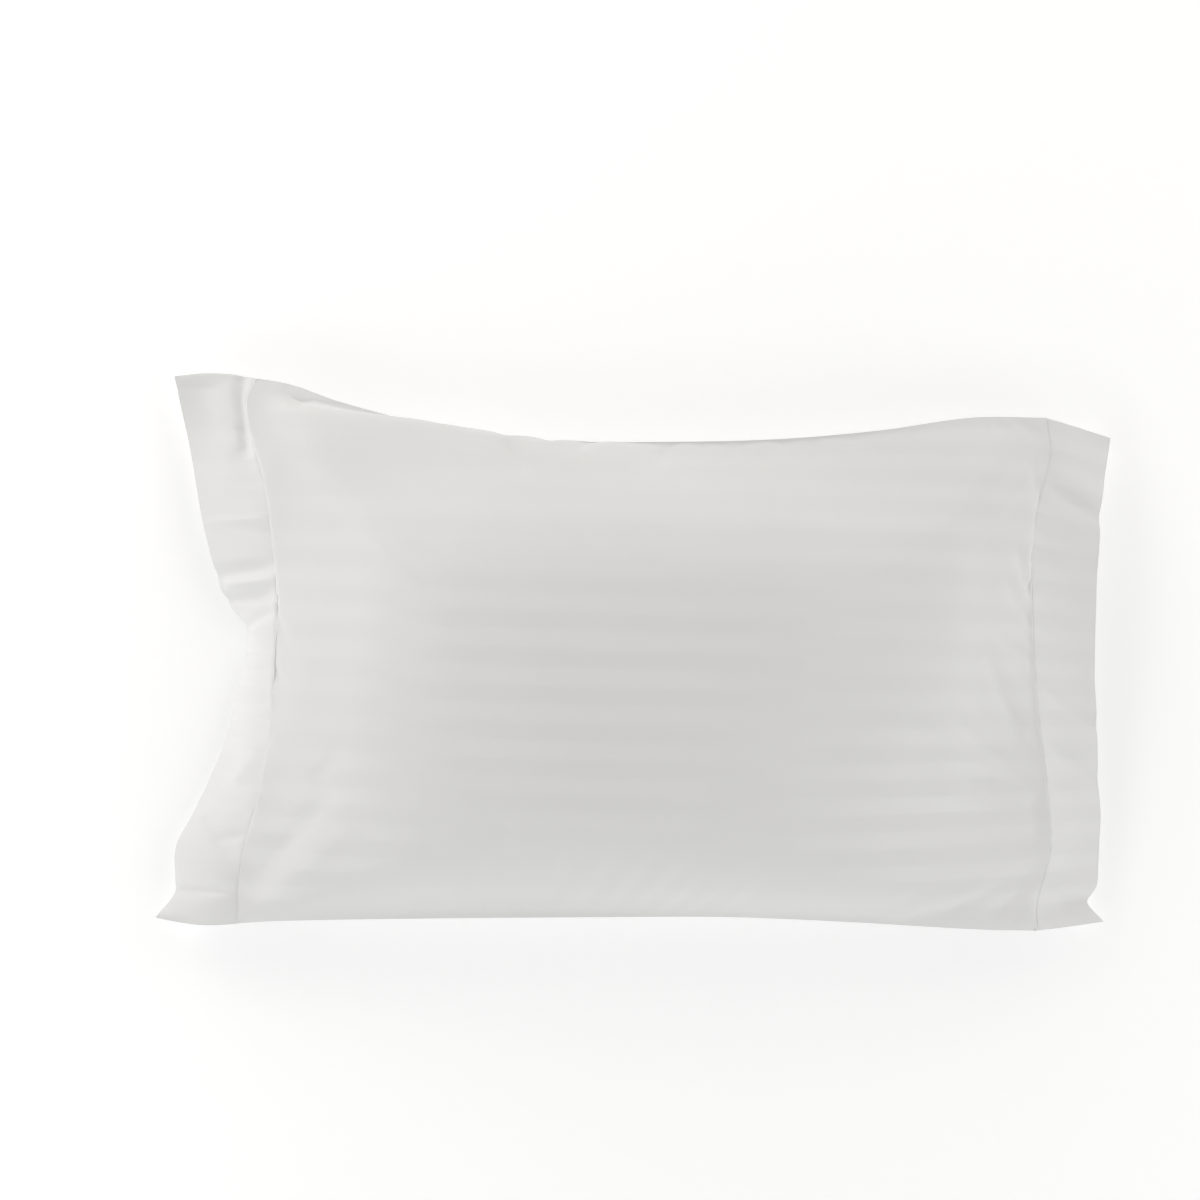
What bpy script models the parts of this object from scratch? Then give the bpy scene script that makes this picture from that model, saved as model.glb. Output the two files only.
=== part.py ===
"""A filled flanged pillowcase, lying on its back.

Two panels of striped cotton are joined along their long sides and, one flange in from each end, by a
stitched seam. Between the seams they hold the pillow and swell into a crown. Past the seams they lie
together as the two flanges, which droop and buckle because the filled body draws their seam in.

Frame: +X along the case, +Y towards its upper long side, +Z out of its face. The flat of the
underside lies at Z = 0, and the origin is below the middle of the whole case. Sizes are in
millimetres until they are placed.
"""

import math

import bmesh
import bpy
from mathutils import Vector

MM = 0.001

# The filled body
FACE_CROWN = 82.0  # the face's rise over the seams
BACK_CROWN = 93.0  # the back's fall below them, had it not met the floor
# The crown's profile from the middle to each side. The higher the exponent, the further the crown stays
# full; at a roundness of 1 the cloth leaves the seam as a wedge, and below 1 it leaves it in a round.
FACE_PROFILE = {
    "left": {"exponent": 2.9, "roundness": 1.00},
    "right": {"exponent": 2.4, "roundness": 1.00},
    "lower": {"exponent": 2.2, "roundness": 0.80},
    "upper": {"exponent": 2.5, "roundness": 1.00},
}
BACK_PROFILE = {
    "left": {"exponent": 3.6, "roundness": 0.90},
    "right": {"exponent": 3.6, "roundness": 0.90},
    "lower": {"exponent": 2.2, "roundness": 0.80},
    "upper": {"exponent": 3.6, "roundness": 0.68},
}
BODY_CELLS_LONG, BODY_CELLS_WIDE = 46, 34  # cells of the grid over one panel
EDGE_CROWDING = 0.45  # 0 spaces the cells evenly, 1 crowds them at the seams
WELD_DISTANCE = 0.01  # joins the two panels' rims

# The flanges
FLANGE_THICKNESS = 2.0  # two layers of cloth and the turned edge between them
FLANGE_CELLS_LONG, FLANGE_CELLS_WIDE = 64, 8
SEAM_GAP = 0.6  # from the body's seam to the nearer face of a flange's inner edge

# The seams of the filled body. A row is a place along the side, from 0 to 1 (left to right, or bottom
# to top), how far out the seam lies there, and how high over the floor.
CORNERS = {
    "lower_left": (-360, -242),
    "lower_right": (362, -237),
    "upper_left": (-361, 240),
    "upper_right": (359, 235),
}
UPPER_SIDE = {
    "place": (0.00, 0.04, 0.11, 0.24, 0.35, 0.50, 0.65, 0.78, 0.90, 1.00),
    "out": (240, 236, 220, 200, 193, 196, 203, 215, 231, 235),
    "height": (50, 52, 58, 66, 69, 69, 68, 65, 58, 49),
}
LOWER_SIDE = {
    "place": (0.00, 0.05, 0.20, 0.44, 0.60, 0.75, 0.92, 1.00),
    "out": (-242, -239, -234, -229, -227, -230, -236, -237),
    "height": (45, 49, 60, 66, 66, 62, 51, 45),
}
LEFT_END = {
    "place": (0.00, 0.06, 0.16, 0.28, 0.48, 0.63, 0.72, 0.80, 0.88, 0.96, 1.00),
    "out": (-360, -361, -355, -340, -336, -336, -338, -349, -361, -369, -361),
    "height": (45, 49, 57, 65, 69, 69, 68, 64, 59, 53, 50),
}
RIGHT_END = {
    "place": (0.00, 0.06, 0.16, 0.30, 0.45, 0.66, 0.75, 0.84, 0.93, 1.00),
    "out": (362, 361, 370, 362, 350, 343, 342, 350, 362, 359),
    "height": (45, 48, 55, 63, 67, 68, 67, 61, 54, 49),
}

# The flanges' outer edges. A row is a place up the edge, how far out and how high it lies, and how far
# the cloth between seam and edge bows up (or, below 0, hangs down) out of a straight line.
LEFT_EDGE = {
    "along": (-239, -219, -178, -152, -125, -85, -45, 0, 17, 28, 41, 55, 80, 118, 177, 210, 240),
    "away": (434, 420, 420, 408, 396, 381, 373, 364, 364, 371, 382, 389, 397, 407, 419, 427, 434),
    "height": (34, 25, 20, 17, 15, 12, 10, 8, 8, 11, 16, 20, 27, 30, 28, 32, 40),
    "bow": (1, 7, 4, 3, 3, 4, 5, 8, 9, 6, 2, 2, 3, 2, -3, -3, -1),
}
RIGHT_EDGE = {
    "along": (-230, -213, -197, -180, -134, -97, -42, -5, 69, 126, 164, 205, 221),
    "away": (434, 419, 427, 428, 428, 423, 419, 415, 413, 415, 419, 427, 429),
    "height": (22, 22, 21, 21, 25, 31, 36, 39, 44, 44, 36, 28, 28),
    "bow": (0, -2, -1, -1, -2, -2, -2, -2, -3, -3, 0, 2, 0),
}

# Soft folds pressed into the cloth: where each starts and ends, and its depth (below 0 a ridge) and
# the half width of its trough.
FOLD_END_EASE = 0.6  # how abruptly a fold starts and ends
FULL_FOLD_RISE = 20.0  # a fold of the face reaches its depth where the crown has risen this far
FACE_FOLDS = [
    {"start": (-356, -208), "end": (-270, -112), "depth": 3.5, "half_width": 13},
    {"start": (-346, -222), "end": (-250, -150), "depth": -3.0, "half_width": 14},
    {"start": (-352, 222), "end": (-268, 140), "depth": 3.0, "half_width": 13},
    {"start": (352, -190), "end": (262, -118), "depth": 3.5, "half_width": 14},
    {"start": (346, 208), "end": (268, 138), "depth": 2.5, "half_width": 13},
    {"start": (-142, 196), "end": (-120, 162), "depth": 3.0, "half_width": 10},
]
FLANGE_FOLDS = [
    {"start": (-373, 256), "end": (-366, 168), "depth": 7.0, "half_width": 8},
    {"start": (-378, 178), "end": (-338, 124), "depth": 2.0, "half_width": 10},
    {"start": (-326, 74), "end": (-404, 66), "depth": 4.2, "half_width": 8},
    {"start": (-330, 61), "end": (-384, 57), "depth": -3.8, "half_width": 7},
    {"start": (-330, 49), "end": (-396, 43), "depth": 3.8, "half_width": 7},
    {"start": (-344, -88), "end": (-372, -122), "depth": -1.4, "half_width": 8},
    {"start": (-352, -214), "end": (-440, -216), "depth": 4.0, "half_width": 8},
    {"start": (344, 190), "end": (424, 166), "depth": -4.0, "half_width": 13},
    {"start": (358, 172), "end": (426, 140), "depth": 3.4, "half_width": 9},
    {"start": (350, -12), "end": (436, -58), "depth": 2.2, "half_width": 10},
    {"start": (352, -62), "end": (436, -104), "depth": 1.6, "half_width": 10},
    {"start": (384, -210), "end": (440, -213), "depth": 1.6, "half_width": 8},
]

CLOTH_COLOR = (0.80, 0.79, 0.77)
CLOTH_ROUGHNESS = 0.75


def smooth_read(places, values, place):
    """A value between the rows of a table, on a smooth curve through them."""
    last = len(places) - 1
    row = next((i for i in range(last) if place <= places[i + 1]), last - 1)
    span = places[row + 1] - places[row]
    t = min(max((place - places[row]) / span, 0.0), 1.0)

    def slope(i):
        before, after = max(i - 1, 0), min(i + 1, last)
        return (values[after] - values[before]) / (places[after] - places[before])

    start_weight = 2 * t**3 - 3 * t**2 + 1
    return (
        start_weight * values[row]
        + (1 - start_weight) * values[row + 1]
        + (t**3 - 2 * t**2 + t) * span * slope(row)
        + (t**3 - t**2) * span * slope(row + 1)
    )


def fold_depth(folds, x, y):
    """How far the folds press the cloth in at this place: full along each line, easing out at its ends."""
    depth = 0.0
    for fold in folds:
        start, end = Vector(fold["start"]), Vector(fold["end"])
        line = end - start
        along = (Vector((x, y)) - start).dot(line) / line.length_squared
        if 0.0 < along < 1.0:
            aside = (Vector((x, y)) - start - along * line).length / fold["half_width"]
            depth += fold["depth"] * math.sin(math.pi * along) ** FOLD_END_EASE * math.exp(-(aside**2))
    return depth


def side_point(side, start, end, place):
    """A point of a long side's seam, between its two corners."""
    x = start[0] + (end[0] - start[0]) * place
    y = smooth_read(side["place"], side["out"], place)
    return Vector((x, y, smooth_read(side["place"], side["height"], place)))


def end_point(end_seam, start, end, place):
    """A point of an end seam, between its two corners."""
    x = smooth_read(end_seam["place"], end_seam["out"], place)
    y = start[1] + (end[1] - start[1]) * place
    return Vector((x, y, smooth_read(end_seam["place"], end_seam["height"], place)))


def upper_seam(place):
    return side_point(UPPER_SIDE, CORNERS["upper_left"], CORNERS["upper_right"], place)


def lower_seam(place):
    return side_point(LOWER_SIDE, CORNERS["lower_left"], CORNERS["lower_right"], place)


def left_seam(place):
    return end_point(LEFT_END, CORNERS["lower_left"], CORNERS["upper_left"], place)


def right_seam(place):
    return end_point(RIGHT_END, CORNERS["lower_right"], CORNERS["upper_right"], place)


def seam_level(u, v):
    """The surface stretched between the four seams, for u and v from 0 to 1."""
    along = lower_seam(u) * (1 - v) + upper_seam(u) * v
    across = left_seam(v) * (1 - u) + right_seam(v) * u
    lower = lower_seam(0) * (1 - u) + lower_seam(1) * u
    upper = upper_seam(0) * (1 - u) + upper_seam(1) * u
    level = along + across - (lower * (1 - v) + upper * v)
    from_ends, from_sides = u * (1 - u), v * (1 - v)
    if from_ends + from_sides > 0:
        level.z = (along.z * from_ends + across.z * from_sides) / (from_ends + from_sides)
    return level


def crown_share(u, v, profile):
    """The share of the crown that the filling reaches here: 0 on the seams, 1 in the middle."""
    share = 1.0
    for from_middle, first, last in ((2 * u - 1, "left", "right"), (2 * v - 1, "lower", "upper")):
        side = profile[last if from_middle > 0 else first]
        share *= (1 - abs(from_middle) ** side["exponent"]) ** side["roundness"]
    return share


def panel_point(u, v, facing):
    """A point of the filled body's front (facing 1) or back (facing -1) panel."""
    point = seam_level(u, v)
    if facing > 0:
        rise = FACE_CROWN * crown_share(u, v, FACE_PROFILE)
        point.z += rise - fold_depth(FACE_FOLDS, point.x, point.y) * min(1.0, rise / FULL_FOLD_RISE)
    else:
        point.z = max(point.z - BACK_CROWN * crown_share(u, v, BACK_PROFILE), 0.0)
    return point


def flange_point(seam, edge, place, across):
    """A point of a flange, from its seam (across 0) to its outer edge (across 1)."""
    inner = seam(place)
    outward = math.copysign(1.0, inner.x)
    low, high = edge["along"][0], edge["along"][-1]
    y = low + (high - low) * place
    away, height, bow = (smooth_read(edge["along"], edge[column], y) for column in ("away", "height", "bow"))
    outer = Vector((outward * away, y, height))
    steepness = abs(inner.z - outer.z) / (outer - inner).length
    inner.x += outward * (SEAM_GAP + FLANGE_THICKNESS / 2 * steepness)
    chord = outer - inner
    point = inner + chord * across
    bow_direction = Vector((-chord.z * outward, 0.0, abs(chord.x))).normalized()
    off_the_seam = math.sin(math.pi / 2 * min(1.0, 3 * across))
    press = fold_depth(FLANGE_FOLDS, point.x, point.y) * off_the_seam
    return point + bow_direction * (bow * math.sin(math.pi * across) - press)


def middle_of_outline():
    """The middle of the case in plan, which the origin lies below."""
    edges = ((left_seam, LEFT_EDGE), (right_seam, RIGHT_EDGE))
    tips = [flange_point(seam, edge, place, 1.0) for seam, edge in edges for place in (0, 1)]
    lower = min(CORNERS["lower_left"][1], CORNERS["lower_right"][1])
    upper = max(CORNERS["upper_left"][1], CORNERS["upper_right"][1])
    return Vector(((min(tip.x for tip in tips) + max(tip.x for tip in tips)) / 2, (lower + upper) / 2, 0.0))


def crowded(fraction):
    """Spacing of the body's cells, closer together at the seams, where the cloth turns most."""
    rounded = 0.5 - 0.5 * math.cos(math.pi * fraction)
    return fraction + (rounded - fraction) * EDGE_CROWDING


def cloth_material(name):
    material = bpy.data.materials.new(name)
    material.use_nodes = True
    shader = material.node_tree.nodes["Principled BSDF"]
    shader.inputs["Base Color"].default_value = (*CLOTH_COLOR, 1.0)
    shader.inputs["Roughness"].default_value = CLOTH_ROUGHNESS
    shader.inputs["Metallic"].default_value = 0.0
    return material


def add_grid(mesh, cells_long, cells_wide, placed):
    """Adds a flat grid to the mesh and sets each point by placed(u, v), with u and v from 0 to 1."""
    made = bmesh.ops.create_grid(mesh, x_segments=cells_long, y_segments=cells_wide, size=0.5)
    for vert in made["verts"]:
        vert.co = placed(vert.co.x + 0.5, vert.co.y + 0.5) * MM
    return made["verts"]


def new_node(name, mesh, collection):
    data = bpy.data.meshes.new(name)
    mesh.to_mesh(data)
    mesh.free()
    data.shade_smooth()
    data.materials.append(cloth_material(name + "_cotton"))
    node = bpy.data.objects.new(name, data)
    collection.objects.link(node)
    return node


def make_body(collection, middle):
    """Front and back panel, each a grid laid over the filling, joined round the seams."""
    mesh = bmesh.new()
    for facing in (1, -1):
        verts = add_grid(
            mesh,
            BODY_CELLS_LONG,
            BODY_CELLS_WIDE,
            lambda u, v, facing=facing: panel_point(crowded(u), crowded(v), facing) - middle,
        )
        if facing < 0:
            faces = {face for vert in verts for face in vert.link_faces}
            bmesh.ops.reverse_faces(mesh, faces=list(faces))
    bmesh.ops.remove_doubles(mesh, verts=mesh.verts, dist=WELD_DISTANCE * MM)
    return new_node("case_body", mesh, collection)


def make_flange(name, seam, edge, collection, middle):
    mesh = bmesh.new()
    add_grid(
        mesh,
        FLANGE_CELLS_WIDE,
        FLANGE_CELLS_LONG,
        lambda across, place: flange_point(seam, edge, place, across) - middle,
    )
    if seam(0).x < 0:
        bmesh.ops.reverse_faces(mesh, faces=mesh.faces)
    flange = new_node(name, mesh, collection)
    layers = flange.modifiers.new("two layers", "SOLIDIFY")
    layers.thickness = FLANGE_THICKNESS * MM
    layers.offset = 0.0
    return flange


def main():
    for old in list(bpy.data.objects):
        bpy.data.objects.remove(old, do_unlink=True)
    collection = bpy.data.collections.new("flanged_pillowcase")
    bpy.context.scene.collection.children.link(collection)
    middle = middle_of_outline()
    make_body(collection, middle)
    make_flange("flange_left", left_seam, LEFT_EDGE, collection, middle)
    make_flange("flange_right", right_seam, RIGHT_EDGE, collection, middle)


main()
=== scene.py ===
"""A filled flanged pillowcase of white satin-striped cotton, lying on its back on a pale floor."""

import math

import bmesh
import bpy
import numpy as np
from mathutils import Matrix, Vector, noise


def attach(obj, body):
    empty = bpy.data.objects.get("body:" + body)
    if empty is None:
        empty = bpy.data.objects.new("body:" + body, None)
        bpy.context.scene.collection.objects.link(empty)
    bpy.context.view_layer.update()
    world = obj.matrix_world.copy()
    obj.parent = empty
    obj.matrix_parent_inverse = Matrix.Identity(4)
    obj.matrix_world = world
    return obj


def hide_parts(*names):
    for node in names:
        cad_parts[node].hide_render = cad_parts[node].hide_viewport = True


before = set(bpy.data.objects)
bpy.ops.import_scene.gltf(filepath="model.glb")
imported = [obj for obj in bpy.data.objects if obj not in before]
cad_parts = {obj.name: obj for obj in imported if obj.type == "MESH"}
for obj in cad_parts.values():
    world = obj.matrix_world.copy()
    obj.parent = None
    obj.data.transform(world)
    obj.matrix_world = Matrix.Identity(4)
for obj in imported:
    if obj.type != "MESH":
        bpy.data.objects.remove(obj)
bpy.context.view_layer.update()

# ---- The two panels, cut flat ---------------------------------------------------------------------
# The front and the back are one cut each of satin-striped cotton, with the stripes running along the
# case. They are joined round their edges and lie on each other until the pillow goes in.

MM = 0.001
CUT_LONG, CUT_WIDE = 0.750, 0.500  # between the seams; the flanges run on past the two end seams
CELLS_LONG, CELLS_WIDE = ((116, 80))
SEAM_HEIGHT = 0.060  # where the flat panels start
LAY_APART = 0.003  # how far a panel starts out of the seam's plane, towards its own side
LAY_FLATNESS = 8  # how far out towards the seams it keeps that distance
DOUBLES_DISTANCE = 1e-6


def panel(name, facing):
    """One panel as a flat grid; facing is 1 for the front and -1 for the back."""
    bpy.ops.object.select_all(action="DESELECT")
    bpy.ops.mesh.primitive_grid_add(x_subdivisions=CELLS_LONG, y_subdivisions=CELLS_WIDE, size=1.0)
    cut = bpy.context.object
    cut.name = name
    for vert in cut.data.vertices:
        from_middle_long, from_middle_wide = 2 * vert.co.x, 2 * vert.co.y
        inside = (1 - from_middle_long**LAY_FLATNESS) * (1 - from_middle_wide**LAY_FLATNESS)
        lift = facing * LAY_APART * inside
        vert.co = (vert.co.x * CUT_LONG, vert.co.y * CUT_WIDE, SEAM_HEIGHT + lift)
    if facing < 0:
        cut.data.flip_normals()
    return cut


front = panel("front_panel", 1)
back = panel("back_panel", -1)
bpy.ops.object.select_all(action="DESELECT")
back.select_set(True)
front.select_set(True)
bpy.context.view_layer.objects.active = front
bpy.ops.object.join()
panels = bpy.context.object
bpy.ops.object.mode_set(mode="EDIT")
bpy.ops.mesh.select_all(action="SELECT")
bpy.ops.mesh.remove_doubles(threshold=DOUBLES_DISTANCE)
bpy.ops.object.mode_set(mode="OBJECT")

# ---- The seams, drawn in by the filling -----------------------------------------------------------
# The long sides are plain seams and the ends are stitched through to the flanges. The rows are the
# solid's own: a place along the side from 0 to 1, how far out the seam lies there and how high over
# the floor, in millimetres.

UPPER_SIDE = {
    "place": (0.00, 0.04, 0.11, 0.24, 0.35, 0.50, 0.65, 0.78, 0.90, 1.00),
    "out": (240, 236, 220, 200, 193, 196, 203, 215, 231, 235),
    "height": (50, 52, 58, 66, 69, 69, 68, 65, 58, 49),
}
LOWER_SIDE = {
    "place": (0.00, 0.05, 0.20, 0.44, 0.60, 0.75, 0.92, 1.00),
    "out": (-242, -239, -234, -229, -227, -230, -236, -237),
    "height": (45, 49, 60, 66, 66, 62, 51, 45),
}
LEFT_END = {
    "place": (0.00, 0.06, 0.16, 0.28, 0.48, 0.63, 0.72, 0.80, 0.88, 0.96, 1.00),
    "out": (-360, -361, -355, -340, -336, -336, -338, -349, -361, -369, -361),
    "height": (45, 49, 57, 65, 69, 69, 68, 64, 59, 53, 50),
}
RIGHT_END = {
    "place": (0.00, 0.06, 0.16, 0.30, 0.45, 0.66, 0.75, 0.84, 0.93, 1.00),
    "out": (362, 361, 370, 362, 350, 343, 342, 350, 362, 359),
    "height": (45, 48, 55, 63, 67, 68, 67, 61, 54, 49),
}


def smooth_read(places, values, place):
    """Values between the rows of a table, on a smooth curve through them; place may be an array."""
    places, values = np.array(places, float), np.array(values, float)
    place = np.clip(np.asarray(place, float), places[0], places[-1])
    slopes = np.empty_like(values)
    slopes[1:-1] = (values[2:] - values[:-2]) / (places[2:] - places[:-2])
    slopes[0] = (values[1] - values[0]) / (places[1] - places[0])
    slopes[-1] = (values[-1] - values[-2]) / (places[-1] - places[-2])
    row = np.clip(np.searchsorted(places, place, side="left") - 1, 0, len(places) - 2)
    span = places[row + 1] - places[row]
    t = (place - places[row]) / span
    start_weight = 2 * t**3 - 3 * t**2 + 1
    return (
        start_weight * values[row]
        + (1 - start_weight) * values[row + 1]
        + (t**3 - 2 * t**2 + t) * span * slopes[row]
        + (t**3 - t**2) * span * slopes[row + 1]
    )


def seam_point(side, place, across_x):
    """Points of a seam in millimetres, spaced evenly along x on a long side and along y on an end."""
    out = smooth_read(side["place"], side["out"], place)
    height = smooth_read(side["place"], side["height"], place)
    if across_x:
        first = LEFT_END["out"][-1 if side is UPPER_SIDE else 0]
        last = RIGHT_END["out"][-1 if side is UPPER_SIDE else 0]
        return np.stack([first + (last - first) * place, out, height], axis=-1)
    first = LOWER_SIDE["out"][0 if side is LEFT_END else -1]
    last = UPPER_SIDE["out"][0 if side is LEFT_END else -1]
    return np.stack([out, first + (last - first) * place, height], axis=-1)


# The rows' own zero lies a millimetre off the middle of the outline, and the origin lies below that middle.
ROWS_MIDDLE = np.array([0.0, (LOWER_SIDE["out"][0] + UPPER_SIDE["out"][0]) / 2, 0.0])
AT_A_RIM = 1e-5  # a point this close to a panel's rim, as a share of its size, is on it


def drawn_in(point_count, coords):
    """Where each point of the panels' rim goes as the pillow fills them; the others stay."""
    moved = coords.copy()
    u, v = coords[:, 0] / CUT_LONG + 0.5, coords[:, 1] / CUT_WIDE + 0.5
    rims = [
        (v > 1 - AT_A_RIM, UPPER_SIDE, u, True),
        (v < AT_A_RIM, LOWER_SIDE, u, True),
        (u < AT_A_RIM, LEFT_END, v, False),
        (u > 1 - AT_A_RIM, RIGHT_END, v, False),
    ]
    rim = np.zeros(point_count, bool)
    for chosen, side, place, across_x in rims:
        moved[chosen] = (seam_point(side, place[chosen], across_x) - ROWS_MIDDLE) * MM
        rim |= chosen
    return moved, rim


def read_points(mesh):
    """A mesh's points as an array of rows x, y, z."""
    points = np.empty(len(mesh.vertices) * 3, np.float32)
    mesh.vertices.foreach_get("co", points)
    return points.reshape(-1, 3).astype(float)


def write_points(mesh, points):
    mesh.vertices.foreach_set("co", points.astype(np.float32).ravel())
    mesh.update()


flat_points = read_points(panels.data)
filled_rim, rim = drawn_in(len(flat_points), flat_points)
panels.shape_key_add(name="Basis")
pulled = panels.shape_key_add(name="seams drawn in")
pulled.data.foreach_set("co", filled_rim.astype(np.float32).ravel())

# ---- The filling pushes the panels out ------------------------------------------------------------
# A fibre pillow fills the case. Its push is a pressure inside the cut cloth while the seams are drawn
# in to their places, and the floor stands under the back. The cloth hardly stretches, so it makes
# its own crown, the tension folds at the corners and the puckers along the seams.

DRAW_IN_FRAMES, SETTLE_FRAMES = 14, 18
PRESSURE = 60
VERTEX_MASS = 0.001
CLEARANCE = 0.0035  # the cloth settles this far over what it rests on, so the bed lies lower
BED_REACH = 1.0

floor_bed = bpy.data.objects.new("floor_bed", bpy.data.meshes.new("floor_bed"))
bed_corners = [(x * BED_REACH, y * BED_REACH, -CLEARANCE) for x, y in ((-1, -1), (1, -1), (1, 1), (-1, 1))]
floor_bed.data.from_pydata(bed_corners, [], [(0, 1, 2, 3)])
bpy.context.scene.collection.objects.link(floor_bed)
floor_bed.modifiers.new("floor", "COLLISION")
floor_bed.collision.cloth_friction = 5
floor_bed.collision.thickness_outer = 0.002

stitched = panels.vertex_groups.new(name="seams")
stitched.add([int(i) for i in np.flatnonzero(rim)], 1.0, "REPLACE")
pulled.value = 0.0
pulled.keyframe_insert("value", frame=1)
pulled.value = 1.0
pulled.keyframe_insert("value", frame=DRAW_IN_FRAMES)
cloth = panels.modifiers.new("Cloth", "CLOTH")
cloth.settings.quality = 6
cloth.settings.mass = VERTEX_MASS
cloth.settings.air_damping = 1
cloth.settings.tension_stiffness = 40
cloth.settings.compression_stiffness = 20
cloth.settings.shear_stiffness = 5
cloth.settings.bending_stiffness = 0.3
cloth.settings.vertex_group_mass = "seams"
cloth.settings.use_pressure = True
cloth.settings.uniform_pressure_force = PRESSURE
cloth.settings.effector_weights.gravity = 0
cloth.collision_settings.distance_min = 0.002
cloth.collision_settings.collision_quality = 2
cloth.collision_settings.use_self_collision = False
for step in range(1, DRAW_IN_FRAMES + SETTLE_FRAMES + 1):
    bpy.context.scene.frame_set(step)

settled = panels.evaluated_get(bpy.context.evaluated_depsgraph_get())
body_mesh = bpy.data.meshes.new_from_object(settled)
body = bpy.data.objects.new("filled_body", body_mesh)
bpy.context.scene.collection.objects.link(body)
drawing_in = panels.data.shape_keys.animation_data.action
bpy.data.objects.remove(panels, do_unlink=True)
bpy.data.objects.remove(floor_bed, do_unlink=True)
bpy.data.actions.remove(drawing_in)
bpy.context.scene.frame_set(1)

# A pressure fills the edges as full as the middle, but a pillow is thinner there: between its corners
# the face runs from the seam to the pillow's shoulder as a wedge. The back and the face's corners stay
# fuller. A row is a distance from the seam in the flat cut, in millimetres, and the share of the rise
# that is lost there.
FACE_WEDGES = {
    "left": {
        "from_seam": (0, 10, 24, 38, 58, 78, 116, 155, 194, 260),
        "lost": (0.975, 0.955, 0.885, 0.79, 0.63, 0.49, 0.27, 0.14, 0.06, 0.0),
    },
    "right": {
        "from_seam": (0, 10, 24, 38, 78, 116, 155, 194, 260),
        "lost": (0.94, 0.855, 0.765, 0.705, 0.50, 0.28, 0.15, 0.08, 0.0),
    },
    "upper": {
        "from_seam": (0, 12, 31, 62, 94, 125, 170, 240),
        "lost": (0.97, 0.92, 0.81, 0.66, 0.47, 0.26, 0.08, 0.0),
    },
    "lower": {"from_seam": (0, 12, 25, 60, 110), "lost": (0.80, 0.42, 0.20, 0.04, 0.0)},
}
FULL_END = {"from_seam": (0, 20, 58, 96, 150), "lost": (0.75, 0.44, 0.16, 0.06, 0)}
FULL_SIDE = {"from_seam": (0, 25, 60, 110), "lost": (0.35, 0.15, 0.04, 0)}
TOP_LOSS = 0.12  # the share that the top of the face loses, since a pillow is flatter than a balloon
CORNER_REACH = 95.0  # how far along a seam the face's corners reach
CORNER_SHARPNESS = 6  # how closely a corner follows the side that loses more there
MOST_LOST = 0.98

settled_points = read_points(body.data)
u, v = flat_points[:, 0] / CUT_LONG + 0.5, flat_points[:, 1] / CUT_WIDE + 0.5
along_level = seam_point(LOWER_SIDE, u, True)[:, 2] * (1 - v) + seam_point(UPPER_SIDE, u, True)[:, 2] * v
across_level = seam_point(LEFT_END, v, False)[:, 2] * (1 - u) + seam_point(RIGHT_END, v, False)[:, 2] * u
from_ends, from_sides = u * (1 - u), v * (1 - v)
seam_level = (along_level * from_ends + across_level * from_sides) * MM
seam_level /= np.maximum(from_ends + from_sides, 1e-9)
from_seam = {
    "left": u * CUT_LONG / MM,
    "right": (1 - u) * CUT_LONG / MM,
    "lower": v * CUT_WIDE / MM,
    "upper": (1 - v) * CUT_WIDE / MM,
}
on_face = settled_points[:, 2] > seam_level
lost = np.zeros(len(settled_points))
for side in FACE_WEDGES:
    at_an_end = side in ("left", "right")
    full = FULL_END if at_an_end else FULL_SIDE
    corners = ("lower", "upper") if at_an_end else ("left", "right")
    to_corner = np.minimum(from_seam[corners[0]], from_seam[corners[1]])
    wedged = on_face * (1 - np.exp(-((to_corner / CORNER_REACH) ** 2)))
    here = smooth_read(full["from_seam"], full["lost"], from_seam[side]) * (1 - wedged)
    here += smooth_read(FACE_WEDGES[side]["from_seam"], FACE_WEDGES[side]["lost"], from_seam[side]) * wedged
    lost += np.clip(here, 0, 1) ** CORNER_SHARPNESS
lost = np.minimum(lost ** (1 / CORNER_SHARPNESS), MOST_LOST)
rise = (settled_points[:, 2] - seam_level) * (1 - lost)
rise *= 1 - TOP_LOSS * on_face * (rise / rise.max()) ** 2
settled_points[:, 2] = seam_level + rise
settled_points[rim] = filled_rim[rim]
write_points(body.data, settled_points)

# In four places the cloth puckers a little more than this well filled case does. Each row is a
# region's middle and reach in millimetres, and how far it is calmed.
CALMED = [
    {"middle": (-170, -200), "reach": (220, 60), "share": 0.34},
    {"middle": (60, -205), "reach": (260, 45), "share": 0.30},
    {"middle": (-270, 170), "reach": (90, 70), "share": 0.30},
    {"middle": (90, 165), "reach": (170, 45), "share": 0.22},
]
LEAST_CALMED = 0.01
CALMING_PASSES = 10
calmed = body.vertex_groups.new(name="calmed")
calm_share = np.zeros(len(settled_points))
for region in CALMED:
    from_middle = (settled_points[:, :2] / MM - region["middle"]) / region["reach"]
    calm_share = np.maximum(calm_share, region["share"] * np.exp(-(from_middle**2).sum(axis=1)))
calm_share[rim] = 0.0
for index in np.flatnonzero(calm_share > LEAST_CALMED):
    calmed.add([int(index)], float(calm_share[index]), "REPLACE")

# A seam stays a crisp edge, where the two panels meet at an angle.
seam_edges = body.data.attributes.new("crease_edge", "FLOAT", "EDGE")
edge_ends = np.empty(len(body.data.edges) * 2, np.int32)
body.data.edges.foreach_get("vertices", edge_ends)
on_seam = rim[edge_ends.reshape(-1, 2)].all(axis=1)
seam_edges.data.foreach_set("value", on_seam.astype(np.float32))

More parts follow.
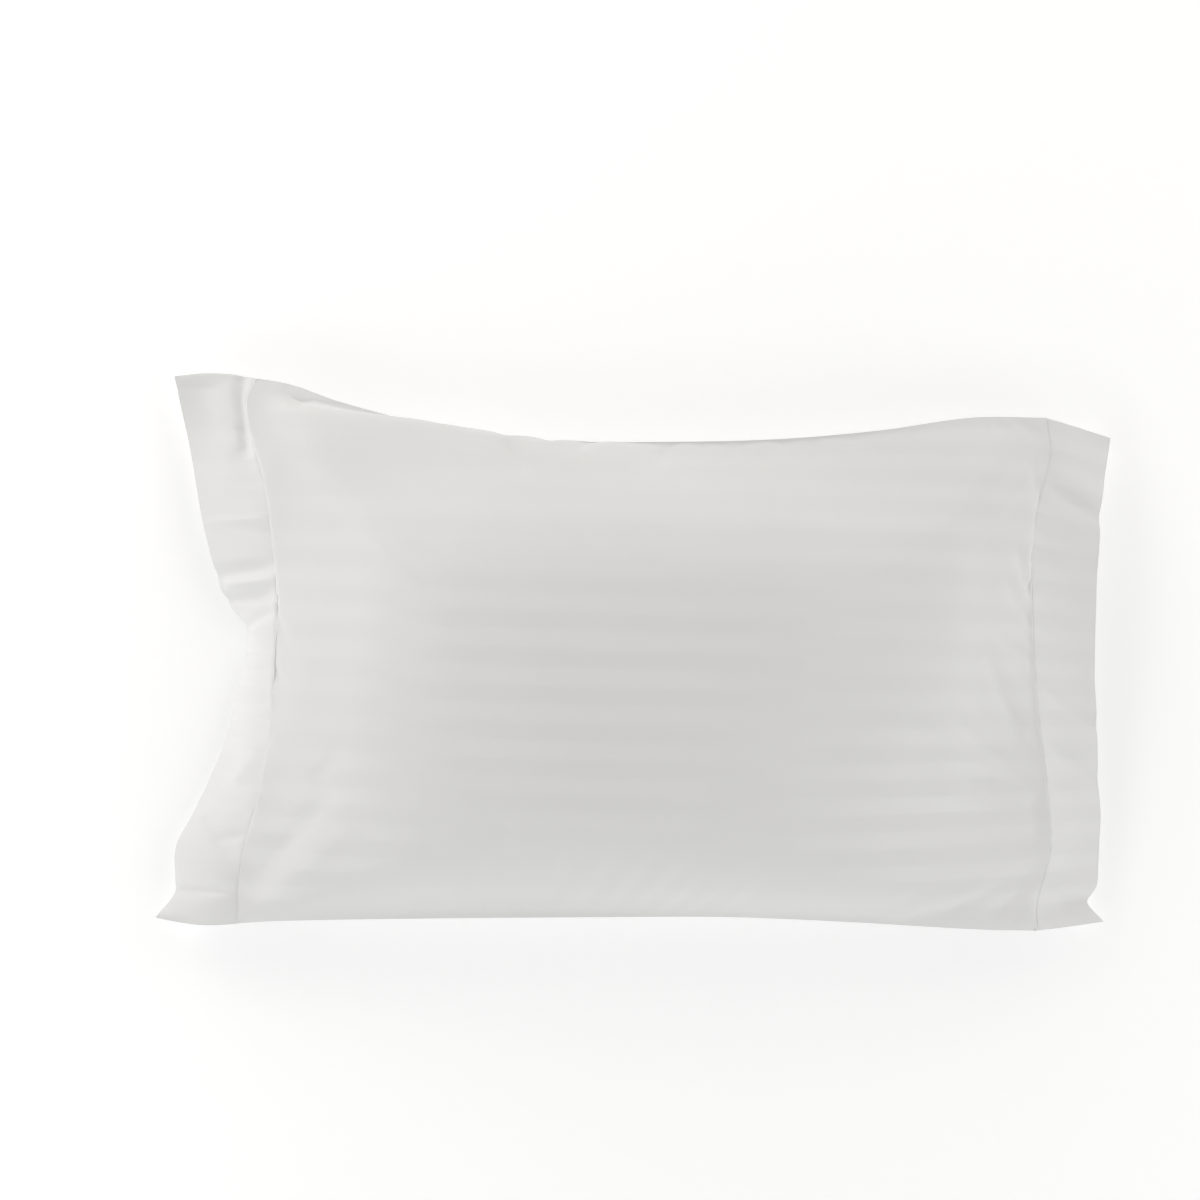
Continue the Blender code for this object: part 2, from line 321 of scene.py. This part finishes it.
bpy.ops.object.select_all(action="DESELECT")
bpy.context.view_layer.objects.active = body
body.select_set(True)
calming = body.modifiers.new("calmed puckers", "SMOOTH")
calming.factor, calming.iterations, calming.vertex_group = 1.0, CALMING_PASSES, "calmed"
bpy.ops.object.modifier_apply(modifier="calmed puckers")
softened = body.modifiers.new("soft surface", "SUBSURF")
softened.levels = softened.render_levels = 1
bpy.ops.object.modifier_apply(modifier="soft surface")

# ---- Creases pressed into the face ----------------------------------------------------------------
# The face is quiet but for soft tension folds that run in from the corners and a few short creases
# beside the seams. A row is where a fold starts and ends, its depth (below 0 a ridge) and half width,
# in millimetres.

SEAM_ANGLE = math.radians(58)  # the panels meet at more than this, and no fold is as sharp
FACE_CREASES = [
    {"start": (-352, -206), "end": (-280, -120), "depth": 2.6, "half_width": 9},
    {"start": (-346, -226), "end": (-262, -150), "depth": -2.0, "half_width": 10},
    {"start": (-300, -112), "end": (-274, -84), "depth": 1.4, "half_width": 7},
    {"start": (-142, 192), "end": (-120, 162), "depth": 2.2, "half_width": 6},
    {"start": (-334, 238), "end": (-314, 218), "depth": 3.0, "half_width": 6},
    {"start": (294, 12), "end": (316, -14), "depth": 1.6, "half_width": 6},
    {"start": (308, -14), "end": (338, -56), "depth": 2.0, "half_width": 7},
    {"start": (326, 116), "end": (340, 76), "depth": 1.6, "half_width": 6},
    {"start": (314, 84), "end": (330, 68), "depth": 1.2, "half_width": 6},
    {"start": (350, -104), "end": (357, -160), "depth": 1.2, "half_width": 8},
    {"start": (344, 196), "end": (350, 160), "depth": 1.6, "half_width": 6},
]
CREASE_EASE = 0.6  # below 1, a crease keeps more of its depth towards its ends


def crease_depth(creases, x, y):
    """How far the creases press in at these places: full along each line, easing out at its ends."""
    depth = np.zeros(len(x))
    for crease in creases:
        start, end = np.array(crease["start"], float), np.array(crease["end"], float)
        line = end - start
        along = ((x - start[0]) * line[0] + (y - start[1]) * line[1]) / (line @ line)
        aside = np.hypot(x - start[0] - along * line[0], y - start[1] - along * line[1])
        ease = np.sin(np.pi * np.clip(along, 0, 1)) ** CREASE_EASE
        depth += crease["depth"] * ease * np.exp(-((aside / crease["half_width"]) ** 2))
    return depth


def point_normals(mesh):
    normals = np.empty(len(mesh.vertices) * 3, np.float32)
    mesh.vertices.foreach_get("normal", normals)
    return normals.reshape(-1, 3).astype(float)


body_points, body_normals = read_points(body.data), point_normals(body.data)
facing_up = np.clip(body_normals[:, 2] * 2, 0, 1)  # the back and the steepest edges keep clear of them
pressed = crease_depth(FACE_CREASES, body_points[:, 0] / MM, body_points[:, 1] / MM) * facing_up
write_points(body.data, body_points - body_normals * pressed[:, None] * MM)
body.data.shade_smooth()
body.data.set_sharp_from_angle(angle=SEAM_ANGLE)

# The cloth: plain weave with satin stripes woven in, which lie along the case. The satin floats are
# smoother and a little brighter where the light grazes them.

STRIPE_REPEAT = 0.0318  # one satin and one plain stripe
STRIPE_START = 0.0248  # where the first satin stripe begins over the lower edge of the cut
COTTON_WHITE = (0.802, 0.800, 0.794, 1.0)
COTTON_SHADE = (0.777, 0.775, 0.768, 1.0)
SATIN_ROUGHNESS, PLAIN_ROUGHNESS = 0.33, 0.68
THREAD_PITCH = (("X", 0.00055), ("Y", 0.00050))


def striped_cotton(name, stripe_repeat):
    """White cotton with woven satin stripes; its UV map is the flat cut in metres."""
    material = bpy.data.materials.new(name)
    material.use_nodes = True
    nodes, links = material.node_tree.nodes, material.node_tree.links
    shader = nodes["Principled BSDF"]
    shader.inputs["Specular IOR Level"].default_value = 0.5
    shader.inputs["Sheen Weight"].default_value = 0.15
    shader.inputs["Sheen Roughness"].default_value = 0.5
    cut_map = nodes.new("ShaderNodeUVMap")
    cut_map.uv_map = "UVMap"
    apart = nodes.new("ShaderNodeSeparateXYZ")
    links.new(cut_map.outputs["UV"], apart.inputs["Vector"])

    def maths(operation, first, second=None):
        node = nodes.new("ShaderNodeMath")
        node.operation = operation
        for socket, value in zip(node.inputs, (first, second)):
            if isinstance(value, bpy.types.NodeSocket):
                links.new(value, socket)
            elif value is not None:
                socket.default_value = value
        return node.outputs["Value"]

    def spread(value, low, high, to_low, to_high):
        node = nodes.new("ShaderNodeMapRange")
        links.new(value, node.inputs["Value"])
        for socket, number in zip(("From Min", "From Max", "To Min", "To Max"), (low, high, to_low, to_high)):
            node.inputs[socket].default_value = number
        return node.outputs["Result"]

    over_start = maths("SUBTRACT", apart.outputs["Y"], STRIPE_START)
    wave = maths("SINE", maths("MULTIPLY", over_start, 2 * math.pi / stripe_repeat))
    satin = spread(wave, -0.12, 0.12, 0.0, 1.0)  # 1 on a satin stripe and 0 on a plain one

    cloudy = nodes.new("ShaderNodeTexNoise")
    cloudy.inputs["Scale"].default_value = 9.0
    cloudy.inputs["Detail"].default_value = 3.0
    links.new(cut_map.outputs["UV"], cloudy.inputs["Vector"])
    tint = nodes.new("ShaderNodeMix")
    tint.data_type = "RGBA"
    tint.inputs["A"].default_value = COTTON_SHADE
    tint.inputs["B"].default_value = COTTON_WHITE
    shade = maths("ADD", spread(cloudy.outputs["Fac"], 0.3, 0.7, 0.25, 0.75), spread(satin, 0, 1, 0.0, 0.12))
    links.new(shade, tint.inputs["Factor"])
    links.new(tint.outputs["Result"], shader.inputs["Base Color"])
    links.new(spread(satin, 0, 1, PLAIN_ROUGHNESS, SATIN_ROUGHNESS), shader.inputs["Roughness"])

    threads = []
    for axis, pitch in THREAD_PITCH:
        threads.append(maths("SINE", maths("MULTIPLY", apart.outputs[axis], 2 * math.pi / pitch)))
    weave = maths("MULTIPLY", maths("MULTIPLY", threads[0], threads[1]), spread(satin, 0, 1, 1.0, 0.3))
    weave_bump = nodes.new("ShaderNodeBump")
    weave_bump.inputs["Strength"].default_value = 0.10
    weave_bump.inputs["Distance"].default_value = 0.0001
    links.new(weave, weave_bump.inputs["Height"])
    stripe_bump = nodes.new("ShaderNodeBump")
    stripe_bump.inputs["Strength"].default_value = 0.25
    stripe_bump.inputs["Distance"].default_value = 0.0001
    links.new(satin, stripe_bump.inputs["Height"])
    links.new(weave_bump.outputs["Normal"], stripe_bump.inputs["Normal"])
    links.new(stripe_bump.outputs["Normal"], shader.inputs["Normal"])
    return material


def scale_cut_map(mesh, long, wide):
    """Turns the grid's 0-to-1 map into metres of the flat cut."""
    layer = mesh.uv_layers.active
    layer.name = "UVMap"
    uv = np.empty(len(mesh.loops) * 2, np.float32)
    layer.uv.foreach_get("vector", uv)
    uv = uv.reshape(-1, 2) * (long, wide)
    layer.uv.foreach_set("vector", uv.astype(np.float32).ravel())


scale_cut_map(body.data, CUT_LONG, CUT_WIDE)
body_cotton = striped_cotton("striped_cotton_body", STRIPE_REPEAT)
body.data.materials.clear()
body.data.materials.append(body_cotton)
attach(body, "root")
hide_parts("case_body")

# ---- The two flanges ------------------------------------------------------------------------------
# Past each end seam the two panels run on together and are turned in at the edge. The seam is drawn in
# by the filling and the edge isn't, so a flange droops, stands out at its corners and buckles.

FLANGE_CUT = 0.072
FLANGE_THICKNESS = 0.0020
FLANGE_CELLS_LONG, FLANGE_CELLS_WIDE = 320, 44
EDGE_CROWDING = 0.85  # the cells are closer together at the seam and at the turned edge
EDGE_ROUNDNESS = 0.85  # how far the turned edge rounds off
SEAM_LAP = 0.8  # millimetres that the flange runs in under the body's rim
SEAM_TAPER = 6.0  # millimetres over which the two layers swell from the seam to their full thickness
SEAM_SHARE = 0.12  # how thick they are at the seam
STITCH_LINE = 3.0  # millimetres from the body to the row of stitches
STITCHED_SHARE = 0.56  # how thick the layers are under the stitches
STITCH_DIP, STITCH_DIP_REACH = 0.20, 1.6  # how deep and how wide the stitches pull the cloth down
LEFT_EDGE = {
    "along": (-239, -219, -178, -152, -125, -85, -45, 0, 17, 28, 41, 55, 80, 118, 177, 210, 240),
    "away": (434, 420, 420, 408, 396, 381, 373, 364, 364, 371, 382, 389, 397, 407, 419, 427, 434),
    "height": (34, 25, 20, 17, 15, 12, 10, 8, 8, 11, 16, 20, 27, 30, 28, 32, 40),
    "bow": (1, 7, 4, 3, 3, 4, 5, 8, 9, 6, 2, 2, 3, 2, -3, -3, -1),
    "end_swell": 4.0,
}
RIGHT_EDGE = {
    "along": (-230, -213, -197, -180, -134, -97, -42, -5, 69, 126, 164, 205, 221),
    "away": (434, 419, 427, 428, 428, 423, 419, 415, 413, 415, 419, 427, 429),
    "height": (22, 22, 21, 21, 25, 31, 36, 39, 44, 44, 36, 28, 28),
    "bow": (0, -2, -1, -1, -2, -2, -2, -2, -3, -3, 0, 2, 0),
    "end_swell": 0.5,
}
END_SWELL_REACH = 0.05  # the share of the flange's length over which its two short ends swell outwards
FLANGE_CREASES = [
    {"start": (-373, 256), "end": (-366, 168), "depth": 8.0, "half_width": 7},
    {"start": (-394, 250), "end": (-384, 130), "depth": -1.2, "half_width": 11},
    {"start": (-438, 230), "end": (-388, 233), "depth": 2.2, "half_width": 5},
    {"start": (-378, 178), "end": (-338, 124), "depth": 2.0, "half_width": 9},
    {"start": (-330, 116), "end": (-402, 112), "depth": -1.6, "half_width": 3.5},
    {"start": (-326, 74), "end": (-404, 66), "depth": 4.2, "half_width": 6},
    {"start": (-330, 61), "end": (-384, 57), "depth": -3.8, "half_width": 5},
    {"start": (-330, 49), "end": (-396, 43), "depth": 3.8, "half_width": 4.5},
    {"start": (-338, 36), "end": (-362, 14), "depth": 2.2, "half_width": 5},
    {"start": (-344, -88), "end": (-372, -122), "depth": -1.4, "half_width": 7},
    {"start": (-352, -165), "end": (-384, -169), "depth": 2.2, "half_width": 5},
    {"start": (-362, -188), "end": (-396, -150), "depth": 1.4, "half_width": 6},
    {"start": (-352, -214), "end": (-440, -216), "depth": 3.8, "half_width": 4.5},
    {"start": (344, 190), "end": (424, 166), "depth": -4.0, "half_width": 13},
    {"start": (358, 172), "end": (426, 140), "depth": 3.4, "half_width": 8},
    {"start": (350, -12), "end": (436, -58), "depth": 2.2, "half_width": 8},
    {"start": (352, -62), "end": (436, -104), "depth": 1.6, "half_width": 8},
    {"start": (384, -210), "end": (440, -213), "depth": 1.6, "half_width": 4},
]
SEAM_PUCKERS = {"pitch": 19.0, "unevenness": 83.0, "height": 0.5, "reach": 11.0}
CLOTH_UNEVENNESS = {"size": 34.0, "height": 0.7}


def flange_points(seam, edge, across, place):
    """The front of a flange's two layers, in millimetres: across and place run from 0 to 1."""
    outward = math.copysign(1.0, seam["out"][0])
    y = edge["along"][0] + (edge["along"][-1] - edge["along"][0]) * place
    away, height, bow = (smooth_read(edge["along"], edge[column], y) for column in ("away", "height", "bow"))
    inner = seam_point(seam, place, False)
    inner[:, 0] -= outward * SEAM_LAP
    chord = np.stack([outward * away, y, height], -1) - inner
    points = inner + chord * across[:, None]
    end_share = np.exp(-(1 - place) / END_SWELL_REACH) - np.exp(-place / END_SWELL_REACH)
    points[:, 1] += edge["end_swell"] * end_share * np.sin(np.pi * across)
    upwards = np.stack([-chord[:, 2] * outward, np.zeros(len(y)), np.abs(chord[:, 0])], -1)
    upwards /= np.linalg.norm(upwards, axis=1)[:, None]

    lift = bow * np.sin(np.pi * across)
    off_the_seam = np.sin(np.pi / 2 * np.minimum(1, 3 * across))
    lift -= crease_depth(FLANGE_CREASES, points[:, 0], points[:, 1]) * off_the_seam
    from_seam, along = across * FLANGE_CUT / MM, place * CUT_WIDE / MM
    waves = np.sin(2 * math.pi * along / SEAM_PUCKERS["pitch"]) * np.sin(
        2 * math.pi * along / SEAM_PUCKERS["unevenness"] + outward
    )
    share = from_seam / SEAM_PUCKERS["reach"]
    lift += SEAM_PUCKERS["height"] * waves * share * np.exp(1 - share)
    lift -= STITCH_DIP * np.exp(-(((from_seam - STITCH_LINE) / STITCH_DIP_REACH) ** 2))
    size = CLOTH_UNEVENNESS["size"]
    uneven = [noise.noise(Vector((a / size, b / size, outward))) for a, b in zip(from_seam, along)]
    lift += CLOTH_UNEVENNESS["height"] * np.array(uneven) * np.minimum(1, share)
    return points + upwards * lift[:, None]


def flange(name, seam, edge):
    """One flange: two layers of cloth as one thin sheet, pressed together where they are stitched."""
    bpy.ops.object.select_all(action="DESELECT")
    cells = {"x_subdivisions": FLANGE_CELLS_WIDE, "y_subdivisions": FLANGE_CELLS_LONG}
    bpy.ops.mesh.primitive_grid_add(**cells, size=1.0)
    piece = bpy.context.object
    piece.name = piece.data.name = name
    grid = read_points(piece.data)
    outward = math.copysign(1.0, seam["out"][0])
    even, place = grid[:, 0] * outward + 0.5, grid[:, 1] + 0.5
    across = even - EDGE_CROWDING * np.sin(2 * math.pi * even) / (2 * math.pi)
    write_points(piece.data, (flange_points(seam, edge, across, place) - ROWS_MIDDLE) * MM)
    scale_cut_map(piece.data, FLANGE_CUT, CUT_WIDE)
    if piece.data.polygons[0].normal.z < 0:
        piece.data.flip_normals()

    from_seam = across * FLANGE_CUT / MM
    to_edge = np.minimum(1.0, (FLANGE_CUT / MM - from_seam) / (FLANGE_THICKNESS / MM))
    plump = np.sqrt(1 - (1 - to_edge) ** 2 * EDGE_ROUNDNESS)
    swelling = np.clip(from_seam / SEAM_TAPER, 0, 1)
    plump *= SEAM_SHARE + (1 - SEAM_SHARE) * swelling**2 * (3 - 2 * swelling)
    layers = piece.vertex_groups.new(name="thickness")
    for index, weight in enumerate(plump):
        layers.add([index], float(weight), "REPLACE")
    thick = piece.modifiers.new("two layers", "SOLIDIFY")
    thick.thickness = FLANGE_THICKNESS
    thick.offset = -1.0
    thick.vertex_group = "thickness"
    bpy.ops.object.modifier_apply(modifier="two layers")
    piece.data.shade_smooth()
    piece.data.materials.clear()
    piece.data.materials.append(flange_cotton)
    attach(piece, "root")
    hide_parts(name.removesuffix("_cloth"))


flange_cotton = striped_cotton("striped_cotton_flange", STRIPE_REPEAT)
flange("flange_left_cloth", LEFT_END, LEFT_EDGE)
flange("flange_right_cloth", RIGHT_END, RIGHT_EDGE)

# ---- The stitches of the end seams ----------------------------------------------------------------
# A row of lockstitches in white sewing cotton closes each end beside the body. It holds the two layers
# down, and each stitch lies in a small dent, on the front and on the back alike.

STITCH_LONG, STITCH_THICK, STITCH_PITCH = 2.5, 0.5, 3.1
STITCH_SUNK = 0.12
STITCH_SIDES, STITCH_RINGS = 8, 5


def stitch_row(name, seam, edge):
    """All the stitches of one end seam, front and back, as one joined piece."""
    count = int(CUT_WIDE / MM / STITCH_PITCH)
    place = (np.arange(count) + 0.5) / count
    line = np.full(count, STITCH_LINE / (FLANGE_CUT / MM))
    step = 0.3 / count
    middle = flange_points(seam, edge, line, place)
    along = flange_points(seam, edge, line, place + step) - flange_points(seam, edge, line, place - step)
    outward = flange_points(seam, edge, line + 0.01, place) - middle
    along /= np.linalg.norm(along, axis=1)[:, None]
    up = np.cross(outward, along) * math.copysign(1.0, seam["out"][0])
    up /= np.linalg.norm(up, axis=1)[:, None]
    side = np.cross(up, along)
    on_front = STITCH_THICK / 2 - STITCH_SUNK
    on_back = -FLANGE_THICKNESS / MM * STITCHED_SHARE - on_front

    stitch = bmesh.new()
    bmesh.ops.create_uvsphere(stitch, u_segments=STITCH_SIDES, v_segments=STITCH_RINGS, radius=0.5)
    shape = np.array([vert.co for vert in stitch.verts]) * (STITCH_LONG, STITCH_THICK, STITCH_THICK)
    faces = [[vert.index for vert in face.verts] for face in stitch.faces]
    stitch.free()
    points, row_faces = [], []
    for lift in (on_front, on_back):
        for index in range(count):
            row_faces += [[corner + len(points) * len(shape) for corner in face] for face in faces]
            turned = shape[:, :1] * along[index] + shape[:, 1:2] * side[index] + shape[:, 2:] * up[index]
            points.append(turned + middle[index] - ROWS_MIDDLE + up[index] * lift)
    mesh = bpy.data.meshes.new(name)
    mesh.from_pydata((np.concatenate(points) * MM).tolist(), [], row_faces)
    row = bpy.data.objects.new(name, mesh)
    bpy.context.scene.collection.objects.link(row)
    mesh.shade_smooth()
    mesh.materials.append(sewing_cotton)
    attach(row, "root")


sewing_cotton = bpy.data.materials.new("white_sewing_cotton")
sewing_cotton.use_nodes = True
cotton_nodes, cotton_links = sewing_cotton.node_tree.nodes, sewing_cotton.node_tree.links
cotton_shader = cotton_nodes["Principled BSDF"]
cotton_shader.inputs["Base Color"].default_value = (0.80, 0.795, 0.78, 1.0)
cotton_shader.inputs["Roughness"].default_value = 0.55
cotton_shader.inputs["Sheen Weight"].default_value = 0.2
twist_place = cotton_nodes.new("ShaderNodeTexCoord")
twist = cotton_nodes.new("ShaderNodeTexWave")
twist.bands_direction = "DIAGONAL"
twist.inputs["Scale"].default_value = 900.0
cotton_links.new(twist_place.outputs["Object"], twist.inputs["Vector"])
twist_bump = cotton_nodes.new("ShaderNodeBump")
twist_bump.inputs["Strength"].default_value = 0.5
twist_bump.inputs["Distance"].default_value = 0.0001
cotton_links.new(twist.outputs["Fac"], twist_bump.inputs["Height"])
cotton_links.new(twist_bump.outputs["Normal"], cotton_shader.inputs["Normal"])
stitch_row("stitches_left", LEFT_END, LEFT_EDGE)
stitch_row("stitches_right", RIGHT_END, RIGHT_EDGE)

# ---- The floor ------------------------------------------------------------------------------------
# A pale studio floor that glows a little, so that it stays near white round the case.

FLOOR_SIZE = 12.0
bpy.ops.object.select_all(action="DESELECT")
bpy.ops.mesh.primitive_plane_add(size=FLOOR_SIZE, location=(0, 0, 0))
floor = bpy.context.object
floor.name = "studio_floor"
pale = bpy.data.materials.new("pale_floor")
pale.use_nodes = True
pale_shader = pale.node_tree.nodes["Principled BSDF"]
pale_shader.inputs["Base Color"].default_value = (0.80, 0.80, 0.80, 1.0)
pale_shader.inputs["Roughness"].default_value = 0.9
pale_shader.inputs["Specular IOR Level"].default_value = 0.1
pale_shader.inputs["Emission Color"].default_value = (1.0, 1.0, 1.0, 1.0)
pale_shader.inputs["Emission Strength"].default_value = 0.33
floor.data.materials.append(pale)

# ---- Light and camera -----------------------------------------------------------------------------
# Large soft lights stand round the case and low, and little light comes from where the camera is, so
# the face is a little darker than the slopes round it. The camera looks down as the photo does.

world = bpy.data.worlds.new("studio")
bpy.context.scene.world = world
world.use_nodes = True
sky_nodes, sky_links = world.node_tree.nodes, world.node_tree.links
direction = sky_nodes.new("ShaderNodeTexCoord")
apart = sky_nodes.new("ShaderNodeSeparateXYZ")
sky_links.new(direction.outputs["Generated"], apart.inputs["Vector"])
brightness = sky_nodes.new("ShaderNodeMapRange")
sky_links.new(apart.outputs["Z"], brightness.inputs["Value"])
for socket, value in (("From Min", 0.0), ("From Max", 1.0), ("To Min", 0.70), ("To Max", 0.0)):
    brightness.inputs[socket].default_value = value
sky_links.new(brightness.outputs["Result"], sky_nodes["Background"].inputs["Strength"])
sky_nodes["Background"].inputs["Color"].default_value = (1.0, 1.0, 1.0, 1.0)
bpy.context.scene.view_settings.view_transform = "Standard"


STUDIO_LIGHTS = [
    {"name": "left_window", "place": (-1.6, 0.15, 1.15), "size": 0.8, "watts": 3.1, "warmth": 0.0},
    {"name": "upper_left_window", "place": (-1.3, 1.2, 0.64), "size": 1.1, "watts": 10.8, "warmth": 0.5},
    {"name": "upper_window", "place": (0.1, 1.6, 1.15), "size": 1.9, "watts": 5.8, "warmth": 1.0},
    {"name": "upper_right_window", "place": (1.3, 1.3, 1.1), "size": 1.6, "watts": 5.8, "warmth": 0.5},
    {"name": "right_window", "place": (1.9, -0.3, 1.5), "size": 3.0, "watts": 22.5, "warmth": 0.0},
    {"name": "lower_right_window", "place": (1.4, -1.3, 0.9), "size": 1.6, "watts": 5.4, "warmth": 0.0},
    {"name": "lower_window", "place": (0.2, -1.7, 0.9), "size": 1.9, "watts": 1.3, "warmth": 0.0},
    {"name": "lower_left_window", "place": (-1.4, -1.2, 1.0), "size": 1.6, "watts": 13.4, "warmth": 0.0},
]
WARM_LOSS = (0.0, 0.04, 0.10)  # how much less red, green and blue a fully warm light gives
LIGHTS_AIM = Vector((0, 0, 0.05))

for row in STUDIO_LIGHTS:
    light = bpy.data.lights.new(row["name"], "AREA")
    light.shape = "SQUARE"
    light.size, light.energy = row["size"], row["watts"]
    light.color = [1.0 - row["warmth"] * loss for loss in WARM_LOSS]
    lamp = bpy.data.objects.new(row["name"], light)
    lamp.location = row["place"]
    lamp.rotation_euler = (LIGHTS_AIM - lamp.location).to_track_quat("-Z", "Y").to_euler()
    bpy.context.scene.collection.objects.link(lamp)

CAMERA_LENS = 64.3
CAMERA_DISTANCE = 1.92
CAMERA_YAW, CAMERA_PITCH, CAMERA_ROLL = math.radians(6.0), math.radians(2.0), math.radians(1.65)
CAMERA_AIM = Vector((-0.050, 0.054, 0.058))

camera_data = bpy.data.cameras.new("camera")
camera_data.lens = CAMERA_LENS
camera = bpy.data.objects.new("camera", camera_data)
bpy.context.scene.collection.objects.link(camera)
towards_camera = Vector(
    (
        -math.sin(CAMERA_YAW) * math.cos(CAMERA_PITCH),
        -math.sin(CAMERA_PITCH),
        math.cos(CAMERA_YAW) * math.cos(CAMERA_PITCH),
    )
)
sideways = Vector((0, 1, 0)).cross(towards_camera).normalized()
upwards = towards_camera.cross(sideways)
turned = Matrix((sideways, upwards, towards_camera)).transposed() @ Matrix.Rotation(CAMERA_ROLL, 3, "Z")
camera.matrix_world = Matrix.Translation(CAMERA_AIM + towards_camera * CAMERA_DISTANCE) @ turned.to_4x4()
bpy.context.scene.camera = camera
